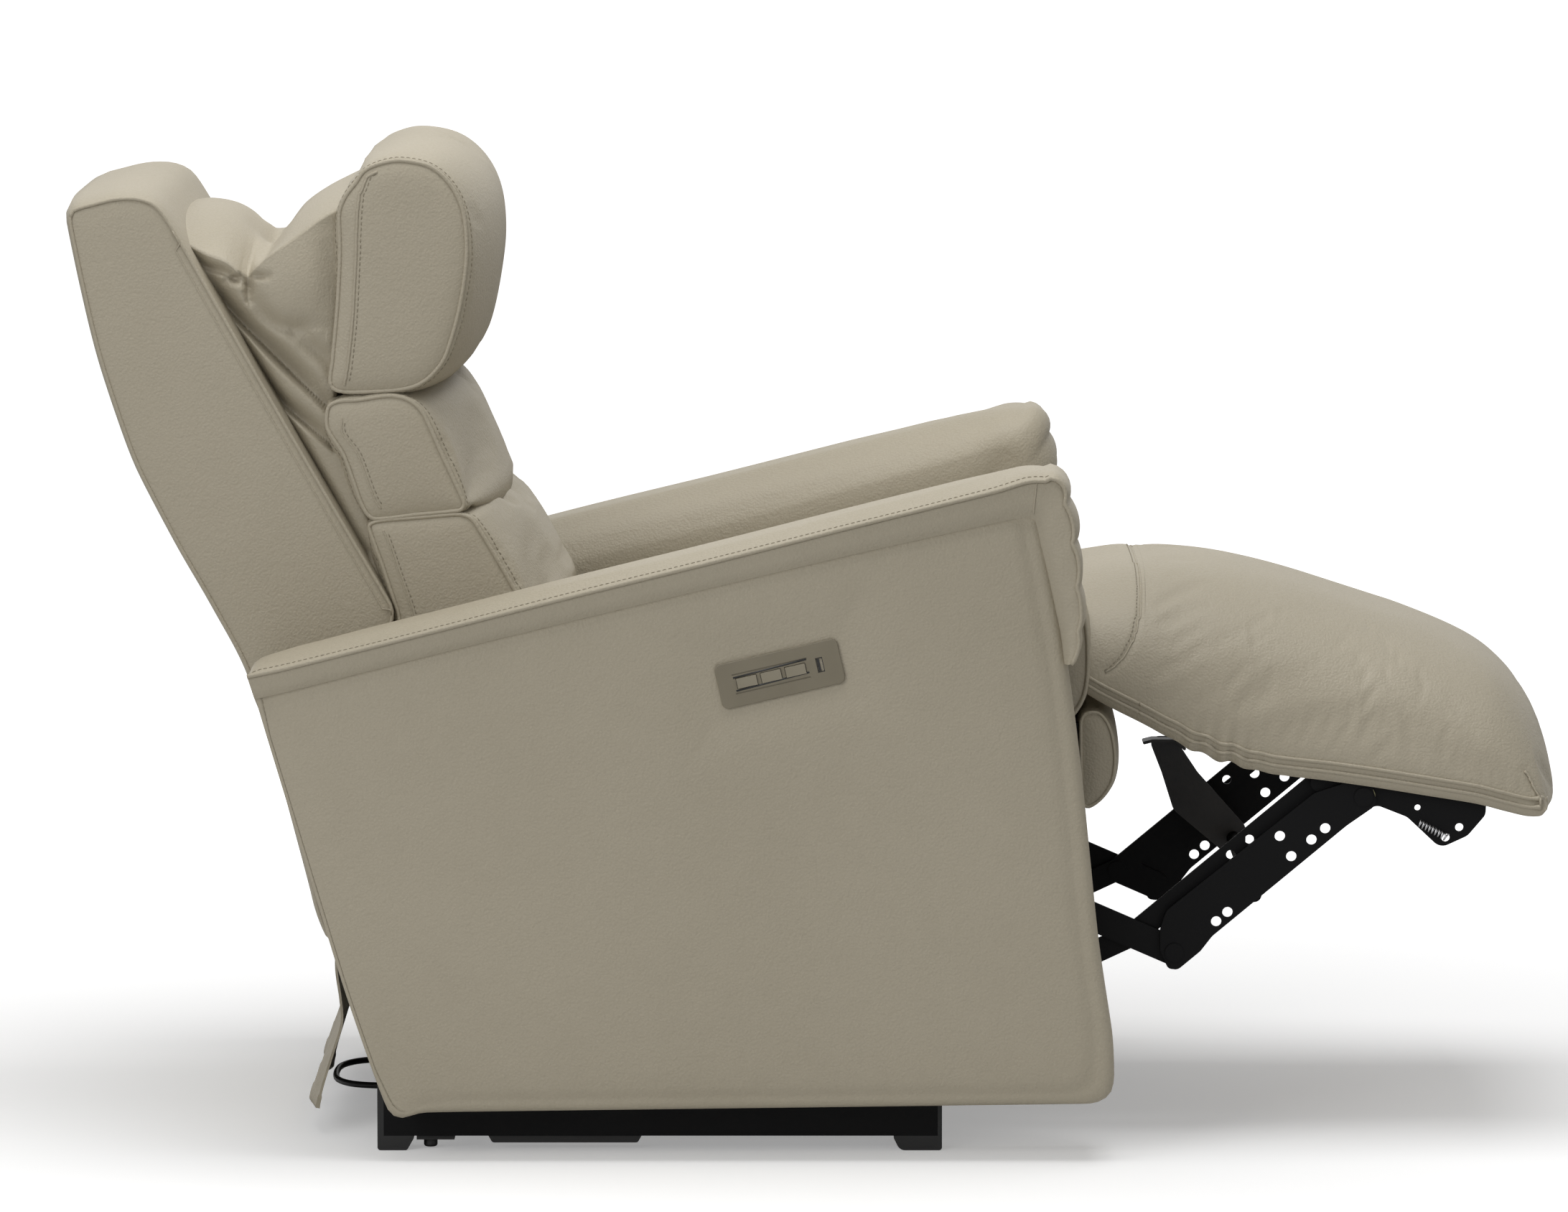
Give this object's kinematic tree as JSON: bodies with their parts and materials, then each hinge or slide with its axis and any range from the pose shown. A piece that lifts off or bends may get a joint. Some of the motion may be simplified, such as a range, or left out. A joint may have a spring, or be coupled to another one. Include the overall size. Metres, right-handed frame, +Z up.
{
  "type": "power recliner",
  "caption": "Upholstered power recliner with sliding seat, folding footrest on a pantograph linkage, reclining back, tilting headrest and a side control plate.",
  "frame": {"origin": "on the floor, under the middle of the bounding box in the rest pose", "axes": "+X the way the chair faces, +Y the sitter's left, +Z up"},
  "size_m": [1.4216, 0.79, 0.9457],
  "materials": {
    "leather": "satin",
    "black_steel": "satin",
    "black_plastic": "matte",
    "taupe_plastic": "satin",
    "steel": "satin",
    "webbing": "matte",
    "plywood": "matte",
    "washer": "satin",
    "cable": "satin"
  },
  "bodies": {
    "base": {"arm_panel_right": "leather", "arm_panel_left": "leather", "arm_pad_right": "leather", "arm_pad_left": "leather", "control_plate": "taupe_plastic", "switch_box": "black_plastic", "charging_port": "steel", "base_rails": "black_steel", "base_tubes": "black_steel", "rear_feet": "black_plastic", "front_feet": "black_plastic", "rail_skids": "black_plastic", "cam_plates": "black_steel", "slide_tracks": "black_steel", "track_posts": "black_steel", "seat_motor": "black_plastic", "control_box": "black_plastic", "power_cable": "cable"},
    "seat_carriage": {"carriage_plates": "black_steel", "slide_shoes": "black_plastic", "carriage_tubes": "black_steel", "drive_rod": "black_steel", "seat_frame": "plywood", "seat_webbing": "webbing", "seat_cushion": "leather", "front_rail_pad": "leather", "chaise_bridge": "leather", "back_motor": "black_plastic"},
    "rear_links": {"rear_link_right": "black_steel", "rear_link_left": "black_steel"},
    "upper_links": {"upper_link_right": "black_steel", "upper_link_left": "black_steel"},
    "front_links": {"front_link_right": "black_steel", "front_link_left": "black_steel", "link_cross_tube": "black_steel", "upright_bracket": "black_steel"},
    "footrest": {"footrest_bracket_right": "black_steel", "footrest_bracket_left": "black_steel", "pivot_washers": "washer", "footrest_springs": "black_steel", "footrest_board": "plywood", "footrest_cushion": "leather"},
    "backrest": {"back_hinge": "black_steel", "back_uprights": "black_steel", "back_webbing": "webbing", "back_shell": "leather", "headrest_motor": "black_plastic", "headrest_brackets": "black_steel", "lumbar_upper": "leather", "lumbar_lower": "leather", "back_gusset": "leather", "rear_skirt": "leather"},
    "back_rod": {"back_rod": "steel"},
    "headrest": {"headrest_frame": "black_steel", "headrest_cushion": "leather"},
    "headrest_rod": {"headrest_rod": "steel"},
    "rocker_1": {"rocker_1": "taupe_plastic"},
    "rocker_2": {"rocker_2": "taupe_plastic"},
    "rocker_3": {"rocker_3": "taupe_plastic"}
  },
  "joints": [
    {"name": "seat_glide", "type": "slide", "parent": "base", "child": "seat_carriage", "axis": [1, 0, 0], "range_m": [-0.09, 0], "deforming": ["chaise_bridge"]},
    {"name": "rear_link_turn", "type": "hinge", "parent": "seat_carriage", "child": "rear_links", "pos_m": [0.19303, 0, 0.24016], "axis": [0, 1, 0], "range_deg": [0, 76]},
    {"name": "upper_link_turn", "type": "hinge", "parent": "rear_links", "child": "upper_links", "pos_m": [0.298, 0, 0.194], "axis": [0, 1, 0], "range_deg": [-95.2, 0]},
    {"name": "front_link_turn", "type": "hinge", "parent": "rear_links", "child": "front_links", "pos_m": [0.336, 0, 0.178], "axis": [0, 1, 0], "range_deg": [-95.2, 0]},
    {"name": "footrest_turn", "type": "hinge", "parent": "front_links", "child": "footrest", "pos_m": [0.51601, 0, 0.32798], "axis": [0, 1, 0], "range_deg": [0, 95.2]},
    {"name": "back_recline", "type": "hinge", "parent": "seat_carriage", "child": "backrest", "pos_m": [-0.312, 0, 0.4], "axis": [0, 1, 0], "range_deg": [-14, 16], "deforming": ["rear_skirt"]},
    {"name": "back_rod_slide", "type": "slide", "parent": "seat_carriage", "child": "back_rod", "axis": [1, 0, 0], "range_m": [-0.0256, 0.0224]},
    {"name": "headrest_tilt", "type": "hinge", "parent": "backrest", "child": "headrest", "pos_m": [-0.47846, 0, 0.71605], "axis": [0, 1, 0], "range_deg": [-30, 0], "deforming": ["back_gusset"]},
    {"name": "headrest_rod_slide", "type": "slide", "parent": "backrest", "child": "headrest_rod", "axis": [0.9763, 0, 0.2164], "range_m": [-0.0483, 0]},
    {"name": "rocker_1_press", "type": "hinge", "parent": "base", "child": "rocker_1", "pos_m": [-0.07169, -0.3835, 0.45691], "axis": [-0.225, 0, 0.9744], "range_deg": [-5, 5], "stiffness_Nm_per_rad": 0.05},
    {"name": "rocker_2_press", "type": "hinge", "parent": "base", "child": "rocker_2", "pos_m": [-0.04889, -0.3835, 0.46218], "axis": [-0.225, 0, 0.9744], "range_deg": [-5, 5], "stiffness_Nm_per_rad": 0.05},
    {"name": "rocker_3_press", "type": "hinge", "parent": "base", "child": "rocker_3", "pos_m": [-0.02609, -0.3835, 0.46744], "axis": [-0.225, 0, 0.9744], "range_deg": [-5, 5], "stiffness_Nm_per_rad": 0.05}
  ],
  "couplings": [
    {"joint": "rear_link_turn", "follows": "seat_glide", "rad_per_m": -14.738},
    {"joint": "upper_link_turn", "follows": "seat_glide", "rad_per_m": 18.462},
    {"joint": "front_link_turn", "follows": "seat_glide", "rad_per_m": 18.462},
    {"joint": "footrest_turn", "follows": "seat_glide", "rad_per_m": -18.462},
    {"joint": "back_rod_slide", "follows": "back_recline", "m_per_rad": -0.0909},
    {"joint": "headrest_rod_slide", "follows": "headrest_tilt", "m_per_rad": 0.092114}
  ]
}
